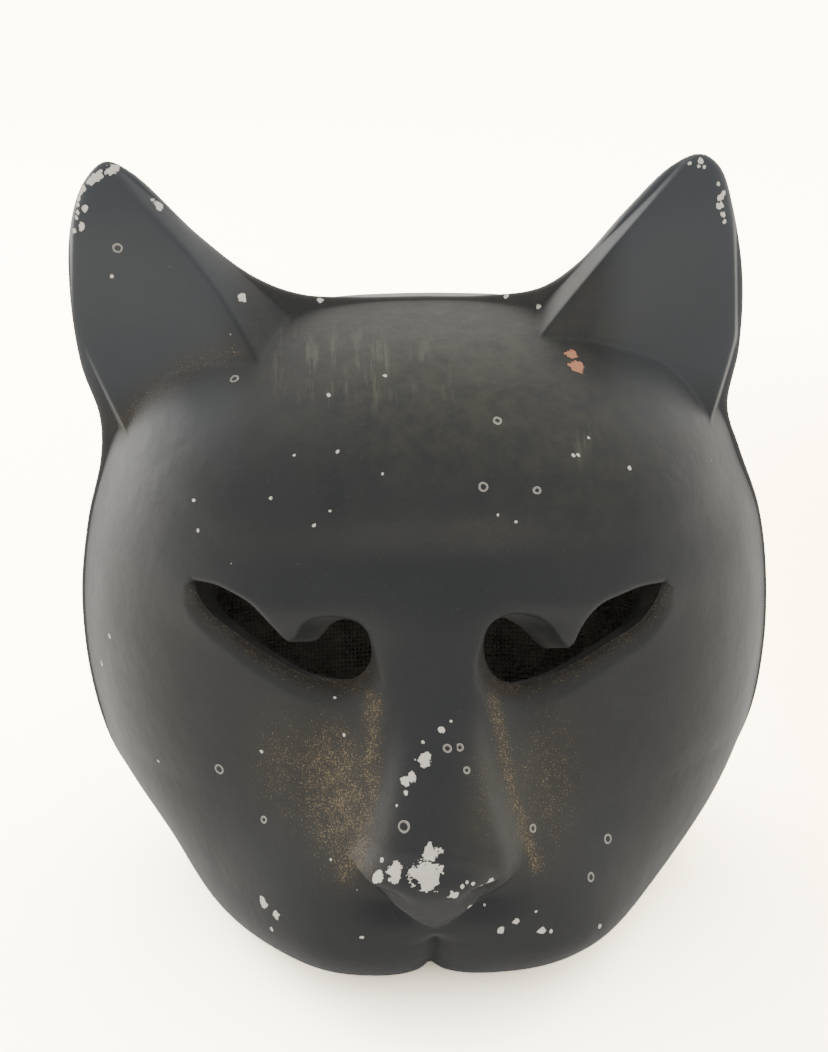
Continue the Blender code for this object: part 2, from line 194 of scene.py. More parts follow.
# %% Skull, muzzle, snout and nose
DOME_DEPTH = 61.0
MUZZLE_DEPTH = 31.0
BACK_DEPTH = 74.0
SNOUT_LINE = [
    (10, 20), (22, 52), (30, 72), (37, 86), (44, 94), (51, 95.5), (58, 93.5), (65, 90), (72, 85.5),
    (80, 79.5), (88, 72), (98, 63.5), (106, 58.5), (114, 53), (122, 45), (140, 20), (170, -20),
]
SNOUT_HALF_WIDTH = [
    (22, 6), (36, 11), (46, 17), (52, 17), (58, 15), (65, 13), (75, 11), (85, 10.5), (95, 10.5),
    (104, 13.5), (114, 21), (125, 33),
]


def face_dome(x, z, share):
    """Skull and muzzle without detail. Below the cheeks the dome falls off more slowly."""
    radius = np.maximum(np.hypot(x, z - MIDDLE_Z), 1e-6)
    low_z = np.where(z < 50, 50 - (50 - z) * 0.55, z)
    low_share = share * np.hypot(x, low_z - MIDDLE_Z) / radius
    dome = DOME_DEPTH * rounding(low_share, 2.3) + MUZZLE_DEPTH * mound(x, z, 0, 14, 62, 44, 1.7)
    return dome + 17 * mound(x, z, 0, 66, 30, 30, 1.2)


def eye_hollows(x, z):
    side = np.abs(x)
    return (
        5.0 * mound(side, z, 22, 92, 10, 15) + 3.0 * mound(side, z, 26, 68, 10, 18)
        + 3.0 * mound(side, z, 8, 121, 24, 9)
    )


def over(distance, blend):
    """How far past an edge, starting softly."""
    return 0.5 * (distance + np.sqrt(distance**2 + blend**2))


def snout(x, z):
    side = np.abs(x - 0.5)
    roof = 0.33 * (np.sqrt(side**2 + 14) - np.sqrt(14))
    return profile(z, SNOUT_LINE) - roof - 2.2 * over(side - profile(z, SNOUT_HALF_WIDTH), 3.0)


def nose_pad(x, z):
    """A bulb over an underside that tapers to a keel between the nostrils."""
    side = np.abs(x + 2)
    width = 17 - 0.5 * over(z - 52, 3)
    bulb = 101 - 0.022 * side**2 - 0.65 * over(48 - z, 2.5) - 2.4 * over(z - 55 + 0.012 * side**2, 4)
    bulb = bulb - 1.7 * over(side - width, 2.0) - 3 * over(29 - z, 2)
    keel = 0.85 * (z - 30)
    return bulb - 1.9 * over(np.abs(x + 1) - np.maximum(keel, 0), 1.2) * ease(49, 46, z)


def face_depth(x, z):
    """How far the face stands in front of the joint plane."""
    share = skull_share(x, z)
    side = np.abs(x)
    depth = face_dome(x, z, share) - eye_hollows(x, z)
    depth = depth + 2.0 * mound(side, z, 34, 137, 30, 16) + 4.5 * mound(side, z, 40, 109, 26, 9)
    depth = depth + 6.0 * mound(side, z, 30, 17, 23, 17) + 3.0 * mound(x, z, 47, 14, 14, 14)
    depth = depth - 5.5 * mound(side, z, 10, 39, 10, 6)
    middle = x + 1
    groove = 2.2 * np.exp(-((middle / 1.8) ** 2)) + 2.0 * np.exp(-np.abs(middle / 6) ** 1.5)
    depth = depth - groove * ease(31, 25, z)
    depth = depth - 2.5 * np.exp(-np.abs(middle / 5) ** 1.4) * ease(25, 8, z)
    depth = soft_max(depth, snout(x, z), 2.2)
    depth = soft_max(depth, nose_pad(x, z), 1.2)
    for nostril_x in (-13.5, 10.0):
        depth = depth - 4.5 * mound(x, z, nostril_x, 45.5, 3.6, 2.2)
    return np.where(share < 1, depth * rounding(share, 8), 0)


# %% [markdown]
# ## Ears
#
# Each ear is a tall wedge whose front is scooped out between two edges: a sharp inner edge with a
# slope behind it, and a steep outer rim. Distances to the two edges give both the scoop and the
# slopes.

# %% The ears' fronts
EAR_EDGES = {
    -1: (((-46, 182.5), (-77, 210.8)), ((-94.5, 200), (-95.5, 178)), ((-96.5, 172), (-83.5, 136))),
    1: (((70.5, 213.2), (44, 185.5)), ((89.5, 160), (86, 200)), ((83, 135), (90.5, 169))),
}


def distance_inside(x, z, edge):
    (x0, z0), (x1, z1) = edge
    length = math.hypot(x1 - x0, z1 - z0)
    return ((x - x0) * (z0 - z1) + (z - z0) * (x1 - x0)) / length


def ear_depth(x, z):
    depth = np.full(np.shape(x), -30.0)
    for side, edges in EAR_EDGES.items():
        inner, outer, lower = (distance_inside(x, z, edge) for edge in edges)
        across = np.clip(inner / np.maximum(inner + outer, 0.001), 0, 1)
        turn, slope, behind_edge = ((0.34, 0.21, 1.2) if side < 0 else (0.1, 0.18, 4.0))
        ear = 3.5 + slope * (213 - z) - turn * (x * side - 62) * ease(206, 160, z)
        ear = ear - 4.0 * ease(206, 165, z) * 4 * across * (1 - across)
        ear = soft_min(ear, behind_edge * inner + 1, 1.2)
        ear = soft_min(ear, 3.0 * outer + 1, 1.6)
        ear = soft_min(ear, 2.5 * lower + 1, 1.6)
        depth = np.where(x * side > 10, np.maximum(depth, ear), depth)
    return depth


def front_surface(x, z, share):
    """Nowhere thinner than a rim at the joint, which keeps the shell solid between ear and crown."""
    depth = face_depth(x, z)
    depth = np.where(z > 125, soft_max(depth, ear_depth(x, z), 2.0), depth)
    return -np.maximum(depth, 2.5) * rounding(share, 30)


def back_surface(x, z, share):
    dome = BACK_DEPTH * rounding(skull_share(x, z), 2.3)
    ear = (6 + 0.33 * (213 - z)) * ease(115, 140, z) * rounding(share, 5)
    return soft_max(dome, ear, 10) * rounding(share, 30)


def cavity_depth(x, z, share):
    """The inside follows the outside loosely, and fills the point of the nose."""
    front = face_dome(x, z, share) - eye_hollows(x, z)
    front = soft_max(front, snout(x, z) - 8, 10.0)
    return np.maximum(front - WALL, 0) * rounding(share, 8)


# %% [markdown]
# ## Eyes
#
# The eyes are cut right through the wall with a knife while the plaster is green. Each outline is
# one smooth run that starts and ends at a sharp corner, the outer tail, and dips round the tooth
# that hangs from the upper lid. The cut leans in towards the nose. The upper lid's edge is nearly
# crisp, and the lower lid has been rubbed down to a round ledge.

# %% Eye outlines
LEFT_EYE = [
    (-62, 113), (-60.6, 107.3), (-58.1, 103.8), (-55, 101.3), (-51.4, 98.9), (-48.4, 96.6), (-45.2, 94.6),
    (-41.3, 92.4), (-37.4, 90.3), (-33.5, 88.5), (-29.6, 87.5), (-25.6, 87.1), (-21.7, 87.7),
    (-18.8, 89.6), (-16.8, 92.6), (-16.1, 96), (-16.2, 99.8), (-17.3, 103.4), (-19.7, 105.9), (-23.3, 107),
    (-27.1, 107.5), (-30.4, 107.2), (-32.7, 105.7), (-34.1, 102.8), (-35.2, 100.7), (-37, 99.9),
    (-38.9, 101.3), (-41.7, 105), (-44.4, 108.2), (-47, 110.4), (-50.8, 112), (-56.1, 113.3),
]
RIGHT_EYE = [
    (61.5, 110.4), (60.2, 105.4), (58.4, 102), (56.1, 99.3), (52.8, 97), (48.6, 95.1), (45.3, 93.4),
    (41.2, 91.4), (37.3, 89.5), (32.1, 87.2), (26.9, 85.8), (21.5, 86), (17.2, 88.1), (14.8, 91),
    (13.3, 94.8), (12.7, 99), (13.3, 102.9), (15.2, 105.5), (18.3, 106.8), (21.9, 107), (25.7, 106.1),
    (29, 103.9), (31.3, 100.5), (33.3, 97.5), (35, 96.2), (36.7, 97.5), (38, 101.3), (40.4, 106.2),
    (43.6, 109), (49, 110.4), (54.6, 111.1),
]
EYE_TAPER = 0.5
EYE_RISE = -0.5


def eye_curve(points, steps=5):
    """A smooth run from the tail's corner round to the same corner."""
    run = np.array(points + points[:1], float)
    lead, trail = 2 * run[0] - run[1], 2 * run[-1] - run[-2]
    return smooth_run(np.vstack([lead, run, trail]), steps)


def facing_down(curve):
    """1 on the lower lid, 0 on the upper, and between them at the corners."""
    along = np.roll(curve, -1, axis=0) - np.roll(curve, 1, axis=0)
    turned = np.sum(curve[:, 0] * np.roll(curve[:, 1], -1) - curve[:, 1] * np.roll(curve[:, 0], -1))
    outward = -along[:, 0] * np.sign(turned) / np.linalg.norm(along, axis=1)
    return ease(0.15, -0.5, outward)


eye_curves = {-1: eye_curve(LEFT_EYE), 1: eye_curve(RIGHT_EYE)}
lower_lids = {side: facing_down(curve) for side, curve in eye_curves.items()}
print("eye outlines of", [len(curve) for curve in eye_curves.values()], "points")


# %% Distance to an eye
def inside(x, z, curve):
    """Whether places are inside a closed curve, by counting the edges to one side."""
    x0, z0 = curve[:, 0], curve[:, 1]
    x1, z1 = np.roll(x0, -1), np.roll(z0, -1)
    spans = (z0 > z[:, None]) != (z1 > z[:, None])
    rise = np.where(z1 == z0, 1e-9, z1 - z0)
    crossing = x0 + (z[:, None] - z0) / rise * (x1 - x0)
    return (spans & (crossing > x[:, None])).sum(axis=1) % 2 == 1


def eye_distance(x, z, side, reach=30):
    """Distance outside an eye's edge, and how far the nearest edge is the lower lid's."""
    curve = eye_curves[side]
    distance, low = np.full(x.shape, 99.0), np.zeros(x.shape)
    near = np.flatnonzero((np.abs(x - curve[:, 0].mean()) < 28 + reach) & (np.abs(z - 98) < 16 + reach))
    if len(near):
        start, along = curve, np.roll(curve, -1, axis=0) - curve
        place = np.stack([x[near], z[near]], axis=1)[:, None] - start
        share = np.clip((place * along).sum(axis=2) / (along**2).sum(axis=1), 0, 1)
        gap = np.linalg.norm(place - share[..., None] * along, axis=2)
        closest = gap.argmin(axis=1)
        row = np.arange(len(near))
        part, lid = share[row, closest], lower_lids[side]
        distance[near] = np.where(inside(x[near], z[near], curve), 0, gap[row, closest])
        low[near] = lid[closest] * (1 - part) + np.roll(lid, -1)[closest] * part
    return distance, low


# %% Rounding the lids' edges
def lid_roll(x, z):
    """How much the surface drops towards an eye's edge, most on the lower lid."""
    drop = np.zeros(x.shape)
    for side in (-1, 1):
        distance, low = eye_distance(x, z, side, 6)
        reach = 1.4 + 3.6 * low
        drop += (0.8 + 3.7 * low) * np.clip(1 - distance / reach, 0, 1) ** 1.8
    return drop


# %% [markdown]
# ## Turning a cube into a skin
#
# A cube with many cuts, swelled into a ball, has even squares and no poles, so it takes sculpting
# well. Each point's direction picks its place on the outline and how far out it sits, and the
# depth formulas do the rest. Squares can be cut again where there is fine detail, before they are
# placed.

# %% From cube to head
def directions_of(bm):
    corners = np.array([v.co[:] for v in bm.verts])
    direction = np.tan(corners * math.pi / 4)
    direction /= np.linalg.norm(direction, axis=1)[:, None]
    direction[np.abs(direction) < 1e-6] = 0
    return direction


def skin_places(direction):
    """Where each direction lands on the outside of the head."""
    share = np.hypot(direction[:, 0], direction[:, 2])
    turn = (0.25 - np.arctan2(direction[:, 2], direction[:, 0]) / (2 * math.pi)) % 1
    along = turn * whole_length[-1]
    x = share * np.interp(along, whole_length, whole_curve[:, 0])
    z = MIDDLE_Z + share * (np.interp(along, whole_length, whole_curve[:, 1]) - MIDDLE_Z)
    front = direction[:, 1] <= 0
    y = np.where(front, front_surface(x, z, share) + lid_roll(x, z), back_surface(x, z, share))
    return np.stack([x, y, z], axis=1)


def cavity_places(direction):
    """Where each direction lands on the inside."""
    share = np.hypot(direction[:, 0], direction[:, 2])
    angle = np.arctan2(direction[:, 2], direction[:, 0])
    wall = WALL - 6 * np.clip(-np.sin(angle), 0, 1) ** 3
    radius = share * (np.interp(angle, *SKULL_TABLE, period=2 * math.pi) - wall)
    x, z = radius * np.cos(angle), MIDDLE_Z + radius * np.sin(angle)
    back = (BACK_DEPTH - WALL) * rounding(share, 2.3)
    return np.stack([x, np.where(direction[:, 1] <= 0, -cavity_depth(x, z, share), back), z], axis=1)


def cut_cube(cuts):
    """A cube with this many squares along each edge. An even count puts points on the joint plane."""
    bm = bmesh.new()
    bmesh.ops.create_cube(bm, size=2.0)
    bmesh.ops.subdivide_edges(bm, edges=bm.edges[:], cuts=cuts - 1, use_grid_fill=True)
    return bm


def keep_half(bm, side):
    away = [v for v in bm.verts if v.co.y * side < -1e-4]
    bmesh.ops.delete(bm, geom=away, context="VERTS")


def refine(bm, wanted):
    """Cuts the squares whose middle passes the test again."""
    bm.faces.ensure_lookup_table()
    places = skin_places(directions_of(bm))
    bm.verts.index_update()
    middles = np.array([places[[v.index for v in f.verts]].mean(axis=0) for f in bm.faces])
    chosen = np.flatnonzero(wanted(middles))
    edges = {e for i in chosen for e in bm.faces[i].edges}
    bmesh.ops.subdivide_edges(bm, edges=list(edges), cuts=1, use_grid_fill=True)
    return len(chosen)


# %% [markdown]
# ## Closing a skin into a solid
#
# Each half is closed with a flat face at the joint and at the foot, the hollow is taken out of it,
# and then the eyes. The Manifold solver is used because it is made for closed meshes like these
# and stays quick when they are dense.

# %% Helpers for solids
SEAM = 0.04
HOLLOW_CUTS, FRONT_CUTS, BACK_CUTS = 44, 130, 90
CUTTER_DEPTHS = (-14.0, 0.0, 36.0)


def place(bm, places, gap=0.0):
    """Moves the points to their places, in millimetres, and no nearer to the joint plane than the gap."""
    if gap:
        y, in_front = places[:, 1], places[:, 1].min() < -1
        places[:, 1] = np.minimum(y, -gap) if in_front else np.maximum(y, gap)
    for vert, co in zip(bm.verts, places * MM):
        vert.co = Vector(co) + FACE_MIDDLE
    bmesh.ops.recalc_face_normals(bm, faces=bm.faces[:])


def close_flat(bm):
    rim = [edge for edge in bm.edges if edge.is_boundary]
    bmesh.ops.holes_fill(bm, edges=rim, sides=0)


def cut_foot(bm):
    """Cuts away what is below the table and closes the cut."""
    geom = bm.verts[:] + bm.edges[:] + bm.faces[:]
    bmesh.ops.bisect_plane(
        bm, geom=geom, dist=1e-7, plane_co=(0, 0, 0), plane_no=(0, 0, -1), clear_outer=True
    )
    close_flat(bm)
    bmesh.ops.recalc_face_normals(bm, faces=bm.faces[:])


def new_object(name, bm):
    mesh = bpy.data.meshes.new(name)
    bm.to_mesh(mesh)
    bm.free()
    obj = bpy.data.objects.new(name, mesh)
    bpy.context.scene.collection.objects.link(obj)
    return obj


def subtract(obj, tools):
    """Cuts the tools out of an object, then deletes the tools."""
    for tool in tools:
        modifier = obj.modifiers.new("cut", "BOOLEAN")
        modifier.operation = "DIFFERENCE"
        modifier.solver = "MANIFOLD"
        modifier.object = tool
    graph = bpy.context.evaluated_depsgraph_get()
    mesh = bpy.data.meshes.new_from_object(obj.evaluated_get(graph))
    obj.modifiers.clear()
    obj.data = mesh
    mesh.name = obj.name
    for tool in tools:
        bpy.data.objects.remove(tool)


# %% The hollow and the eye cutters
def hollow_object():
    bm = cut_cube(HOLLOW_CUTS)
    place(bm, cavity_places(directions_of(bm)))
    return new_object("hollow", bm)


def eye_cutter(side):
    """A tapered plug that leans towards the nose as it goes deeper."""
    curve = eye_curves[side]
    surface = lid_roll(curve[:, 0], curve[:, 1]) - face_depth(curve[:, 0], curve[:, 1])
    bm = bmesh.new()
    rings = []
    for deeper in CUTTER_DEPTHS:
        x = curve[:, 0] - side * EYE_TAPER * deeper
        ring = np.stack([x, surface + deeper, curve[:, 1] + EYE_RISE * deeper], axis=1) * MM
        verts = [bm.verts.new(Vector(co) + FACE_MIDDLE) for co in ring]
        rings.append([bm.edges.new((a, b)) for a, b in zip(verts, verts[1:] + verts[:1])])
    bmesh.ops.bridge_loops(bm, edges=rings[0] + rings[1])
    bmesh.ops.bridge_loops(bm, edges=rings[1] + rings[2])
    bmesh.ops.holes_fill(bm, edges=[e for e in bm.edges if e.is_boundary], sides=0)
    bmesh.ops.triangulate(bm, faces=[f for f in bm.faces if len(f.verts) > 4])
    bmesh.ops.recalc_face_normals(bm, faces=bm.faces[:])
    return new_object("eye_cutter", bm)


# %% [markdown]
# ## The front shell
#
# The front half holds the face. The cube's own squares are enough for the cheeks and the forehead,
# but a lid's edge, the nose or the crease at an ear's foot would come out as steps. So the squares
# near them are cut again, and those next to an eye once more.

# %% Where the front needs finer squares
def near_eyes(p, reach):
    left, right = (eye_distance(p[:, 0], p[:, 2], side, 8)[0] for side in (-1, 1))
    return np.minimum(left, right) < reach


def near_nose(p):
    return (np.abs(p[:, 0]) < 26) & (p[:, 2] > 30) & (p[:, 2] < 66)


def near_ear_creases(p):
    ear = ear_depth(p[:, 0], p[:, 2])
    level = np.abs(ear - face_depth(p[:, 0], p[:, 2])) < 2.5
    return (p[:, 2] > 125) & level


# %% Build it
def build_front_shell():
    bm = cut_cube(FRONT_CUTS)
    keep_half(bm, -1)
    counts = [
        refine(bm, lambda p: near_eyes(p, 7.0) | near_nose(p) | near_ear_creases(p)),
        refine(bm, lambda p: near_eyes(p, 3.5)),
    ]
    place(bm, skin_places(directions_of(bm)), SEAM / 2)
    close_flat(bm)
    cut_foot(bm)
    shell = new_object("front_skin", bm)
    subtract(shell, [hollow_object(), eye_cutter(-1), eye_cutter(1)])
    print("front skin:", len(shell.data.polygons), "faces, refined", counts)
    return shell


front_skin = build_front_shell()

# %% [markdown]
# ## The back shell
#
# The back is a plain rounded skull with the backs of the ears, so it needs no finer squares.

# %% Build it
def build_back_shell():
    bm = cut_cube(BACK_CUTS)
    keep_half(bm, 1)
    place(bm, skin_places(directions_of(bm)), SEAM / 2)
    close_flat(bm)
    cut_foot(bm)
    shell = new_object("back_skin", bm)
    subtract(shell, [hollow_object()])
    print("back skin:", len(shell.data.polygons), "faces")
    return shell


back_skin = build_back_shell()

# %% [markdown]
# ## Smooth and sharp
#
# The skins are shaded smooth, but a cut edge, such as an eye's, stays sharp.

# %% Shade the skins
for skin in (front_skin, back_skin):
    skin.data.shade_smooth()
    skin.data.set_sharp_from_angle(angle=math.radians(42))

# %% [markdown]
# ## Marks: chips, bubbles and specks
#
# The paint has chipped to white plaster at the nose, the lips and the ears' tips, and small air
# bubbles in the cast show as rings. Each mark is a place on the face, a size in millimetres and a
# kind. Every face of the mesh remembers its nearest mark, and the paint's shader draws the mark
# from the distance to it, so an outline stays crisp however close the camera is.

# %% The marks
CHIP, RING, OLD_PAINT = 1, 2, 3
MARKS = {
    CHIP: [
        (-4.5, 53.5, 3.8), (-2, 57.5, 2.3), (-12, 53.5, 2.3), (-16, 51, 1.7), (-15, 54, 0.6),
        (-3, 76.5, 1.8), (-6.5, 73, 1.5), (-9, 72, 1.3), (-8.5, 70, 0.7), (3, 49, 1.2), (5, 50.5, 0.6),
        (6.5, 51, 0.5), (8, 50.5, 0.5), (10, 48, 0.7), (12.5, 48, 1.6), (7.5, 41, 0.9), (16, 29.5, 0.9),
        (20, 32, 0.9), (27, 28, 1.1), (29.5, 27, 0.5), (-45.5, 29, 1.5), (-43, 28, 1.2), (-44.5, 22.5, 0.8),
        (44, 22, 0.8), (-48.5, 178, 1.3), (-27.5, 175.5, 0.9), (23, 176, 0.7), (32.5, 173, 0.8),
        (-81, 212, 1.6), (-82.5, 211, 1.4), (-84.5, 210.5, 1.3), (-86, 209.5, 1.2), (-87.5, 208.5, 1.2),
        (-89, 207, 1.1), (-90, 205.5, 1), (-90.5, 204, 0.9), (-91, 202.5, 0.8), (-89.5, 201.5, 1.1),
        (-91, 200.5, 0.7), (-91.5, 199, 0.6), (-90.5, 197, 1.1), (-92, 196, 0.8), (-70, 202, 1.3),
        (-71.5, 203.5, 0.6), (74.5, 212.5, 0.9), (74, 211, 0.5), (72, 211.5, 0.5), (75.5, 211, 0.5),
        (80, 206, 0.6), (80.5, 204, 0.9), (80.5, 202.5, 1), (80.5, 200.5, 1.1), (81.5, 198.5, 0.9),
        (82, 196.5, 0.6), (-92.5, 72, 0.9), (1.5, 82.5, 0.8), (3, 84, 0.4), (-4, 80.5, 0.45),
        (-10.5, 66, 0.4), (-24, 76.5, 0.45), (-26, 84, 0.4), (12, 36, 0.4), (25.5, 33, 0.4), (-19.5, 29, 0.5),
        (-26, 158, 0.6), (-10.5, 162.5, 0.55), (38.5, 145.5, 0.5), (41.5, 148, 0.4), (37, 144, 0.5),
        (52, 140.5, 0.6), (-12, 142, 0.35), (-23.5, 147, 0.5), (-34.5, 145.5, 0.4), (-41.5, 137, 0.45),
        (-26.5, 134, 0.4), (-29.5, 130.5, 0.5), (-61.5, 132.5, 0.55), (-60.5, 125.5, 0.5),
        (21.5, 130.5, 0.45), (17, 132.5, 0.35), (-83, 183.5, 0.6), (-88.5, 86, 0.7), (-75.5, 53, 0.5),
        (-45.5, 67, 0.5), (-27, 47, 0.4),
    ],
    RING: [
        (2.5, 79.5, 0.9), (6, 79, 0.8), (7.5, 74, 0.7), (-9, 62.5, 1.3), (25.5, 53, 0.9), (-51, 158.5, 1),
        (47, 42, 1.1), (41.5, 35, 1), (-45, 49, 0.8), (-58, 59, 1.2), (27.5, 138, 0.8), (12.5, 139, 1),
        (18, 153, 0.9), (-81.5, 191, 1.1),
    ],
    OLD_PAINT: [(40.5, 162, 2.1), (39.5, 164, 1.6)],
}


# %% Where each point of a skin is
def design_places(mesh, part):
    """The x, y and z, in millimetres from the face's planes, of every vertex or face."""
    items, name = (mesh.vertices, "co") if part == "POINT" else (mesh.polygons, "center")
    places = np.empty(len(items) * 3)
    items.foreach_get(name, places)
    return (places.reshape(-1, 3) - np.array(FACE_MIDDLE)) / MM


def store(mesh, name, kind, part, values):
    """Keeps one value on every point or face, under a name that a shader can read."""
    layer = mesh.attributes.new(name, kind, part)
    layer.data.foreach_set("value" if kind == "FLOAT" else "vector", np.asarray(values, float).ravel())


# %% Find each mark's place on the skin, and store the nearest mark on every face
rows = [(x, z, size, kind) for kind, marks in MARKS.items() for x, z, size in marks]
normals = np.empty(len(front_skin.data.polygons) * 3)
front_skin.data.polygons.foreach_get("normal", normals)
seen = design_places(front_skin.data, "FACE")[normals[1::3] < -0.1]
spot = np.array([seen[np.argmin(np.hypot(seen[:, 0] - x, seen[:, 2] - z))] for x, z, _, _ in rows])


def store_marks(mesh):
    size, kind = np.array(rows, float)[:, 2:].T
    middles = design_places(mesh, "FACE")
    best, nearest = np.full(len(middles), 1e9), np.zeros(len(middles), int)
    for i in range(len(rows)):
        gap = np.linalg.norm(middles - spot[i], axis=1) - size[i]
        closer = gap < best
        best[closer], nearest[closer] = gap[closer], i
    store(mesh, "mark_place", "FLOAT_VECTOR", "FACE", spot[nearest] * MM + np.array(FACE_MIDDLE))
    shape = np.stack([size[nearest] * MM, kind[nearest], np.zeros(len(nearest))], axis=1)
    store(mesh, "mark_shape", "FLOAT_VECTOR", "FACE", shape)
    return len(rows)


print("marks:", [store_marks(skin.data) for skin in (front_skin, back_skin)])

# %% [markdown]
# ## Where bronze dust, rubbing and painted crown light lie
#
# Bronze powder has settled in the creases by the snout, on the lower lids and where the left ear
# meets the head. The crown, the brow and the snout's right side are rubbed to a green-brown, and
# the crown has short scrapes. On the crown that green-brown is also painted light: the up-turned
# top is made lighter, as the sky lights it. These are soft areas, so each point of the mesh holds
# an amount, made from mounds and bands along a few lines. A fourth amount is 1 on the inside of
# the shell.

# %% Amounts on each point
def band(x, z, line, width):
    """1 along a line through some points, fading to 0 at a distance."""
    corners = np.array(line, float)
    along = np.linspace(0, len(line) - 1, 12 * len(line))
    line_x, line_z = (np.interp(along, range(len(line)), corners[:, i]) for i in (0, 1))
    gap = np.min([np.hypot(x - px, z - pz) for px, pz in zip(line_x, line_z)], axis=0)
    return np.exp(-((gap / width) ** 2))


def dust_amount(x, z):
    dust = band(x, z, [(-16, 86), (-16.5, 74), (-18, 62), (-22, 48), (-24, 44)], 3.2)
    dust = np.maximum(dust, 0.95 * mound(x, z, -26, 62, 12, 20, 1.5))
    dust = np.maximum(dust, 0.6 * mound(x, z, -37, 64, 13, 17, 1.5))
    dust = np.maximum(dust, 0.95 * band(x, z, [(15, 86), (17.5, 74), (20, 62), (24, 50), (26, 44)], 2.6))
    dust = np.maximum(dust, 0.6 * mound(x, z, 29, 62, 12, 22, 1.5))
    dust = np.maximum(dust, 0.5 * mound(x, z, 11, 69, 5, 12))
    dust = np.maximum(dust, 0.6 * band(x, z, [(-84, 141), (-76, 151), (-64, 160), (-52, 165)], 4.0))
    dust = np.maximum(dust, 0.3 * band(x, z, [(-70, 206), (-44, 181), (-30, 177), (30, 177), (44, 182)], 3.5))
    for side in (-1, 1):
        distance, low = eye_distance(x, z, side, 12)
        dust = np.maximum(dust, 0.6 * low * ease(5, 1, distance))
    return dust


def rub_and_crown_light_amount(x, z):
    # The crown mound is partly painted light: the up-turned top is made lighter, as the sky lights it, over
    # real rubbing.
    rub = np.maximum(mound(x, z, 10, 160, 46, 20), 0.8 * mound(x, z, 38, 148, 30, 18))
    rub = np.maximum(rub, 0.5 * mound(x, z, 14, 130, 14, 6))
    return np.maximum(rub, 0.6 * mound(x, z, 14, 60, 9, 14))


def scrape_amount(x, z):
    scrapes = mound(x, z, -17, 163, 27, 7, 2)
    return np.maximum(scrapes, 0.8 * band(x, z, [(37, 144), (42, 149)], 2.0))


for skin in (front_skin, back_skin):
    x, y, z = design_places(skin.data, "POINT").T
    in_front = ease(4, -3, y)
    store(skin.data, "dust", "FLOAT", "POINT", dust_amount(x, z) * in_front)
    store(skin.data, "rub", "FLOAT", "POINT", rub_and_crown_light_amount(x, z) * np.maximum(in_front, 0.4))
    store(skin.data, "scrape", "FLOAT", "POINT", scrape_amount(x, z) * in_front)
    front_depth = -front_surface(x, z, np.full(len(x), 0.5))
    outside = np.where(y < 0, front_depth, back_surface(x, z, skull_share(x, z)))
    store(skin.data, "inside", "FLOAT", "POINT", ease(5.5, 8, outside - np.abs(y)) * ease(1, 3, z))

# %% [markdown]
# ## Building shaders with few words
#
# A shader is a chain of small sums. These helpers add one node each and hand back its output,
# so that a material below reads like the recipe it is. A value may be a number or another node's
# output.

# %% Shader helpers
def wire(tree, socket, value):
    if isinstance(value, bpy.types.NodeSocket):
        tree.links.new(value, socket)
    else:
        socket.default_value = value


def calc(tree, operation, *values):
    node = tree.nodes.new("ShaderNodeMath")
    node.operation = operation
    for socket, value in zip(node.inputs, values):
        wire(tree, socket, value)
    return node.outputs[0]


def vector_calc(tree, operation, *values, output=0):
    node = tree.nodes.new("ShaderNodeVectorMath")
    node.operation = operation
    for socket, value in zip(node.inputs, values):
        wire(tree, socket, value)
    return node.outputs[output]


def scaled(tree, vector, amount):
    node = tree.nodes.new("ShaderNodeVectorMath")
    node.operation = "SCALE"
    wire(tree, node.inputs[0], vector)
    wire(tree, node.inputs["Scale"], amount)
    return node.outputs[0]


def split(tree, vector):
    """The three parts of a vector."""
    node = tree.nodes.new("ShaderNodeSeparateXYZ")
    wire(tree, node.inputs[0], vector)
    return node.outputs[0], node.outputs[1], node.outputs[2]


def noise(tree, place, scale, detail=3.0, roughness=0.55, color=False):
    node = tree.nodes.new("ShaderNodeTexNoise")
    node.inputs["Scale"].default_value = scale
    node.inputs["Detail"].default_value = detail
    node.inputs["Roughness"].default_value = roughness
    wire(tree, node.inputs["Vector"], place)
    return node.outputs["Color" if color else "Fac"]


def ramp(tree, value, start, end):
    """0 up to the start and 1 from the end, with a soft step between them."""
    node = tree.nodes.new("ShaderNodeMapRange")
    node.interpolation_type = "SMOOTHSTEP"
    wire(tree, node.inputs["Value"], value)
    wire(tree, node.inputs["From Min"], start)
    wire(tree, node.inputs["From Max"], end)
    return node.outputs["Result"]


def blend(tree, share, first, second):
    node = tree.nodes.new("ShaderNodeMix")
    node.data_type = "RGBA"
    wire(tree, node.inputs["Factor"], share)
    wire(tree, node.inputs["A"], first)
    wire(tree, node.inputs["B"], second)
    return node.outputs["Result"]


def mix_value(tree, share, first, second):
    rest = calc(tree, "MULTIPLY", calc(tree, "SUBTRACT", 1.0, share), first)
    return calc(tree, "ADD", calc(tree, "MULTIPLY", share, second), rest)


def read(tree, name, output="Fac"):
    node = tree.nodes.new("ShaderNodeAttribute")
    node.attribute_name = name
    return node.outputs[output]


def new_material(name):
    material = bpy.data.materials.new(name)
    material.use_nodes = True
    tree = material.node_tree
    place = tree.nodes.new("ShaderNodeTexCoord").outputs["Object"]
    return material, tree, tree.nodes["Principled BSDF"], place


def add_bump(tree, shader, height):
    """Height in metres."""
    node = tree.nodes.new("ShaderNodeBump")
    node.inputs["Distance"].default_value = 1.0
    wire(tree, node.inputs["Height"], height)
    wire(tree, shader.inputs["Normal"], node.outputs["Normal"])
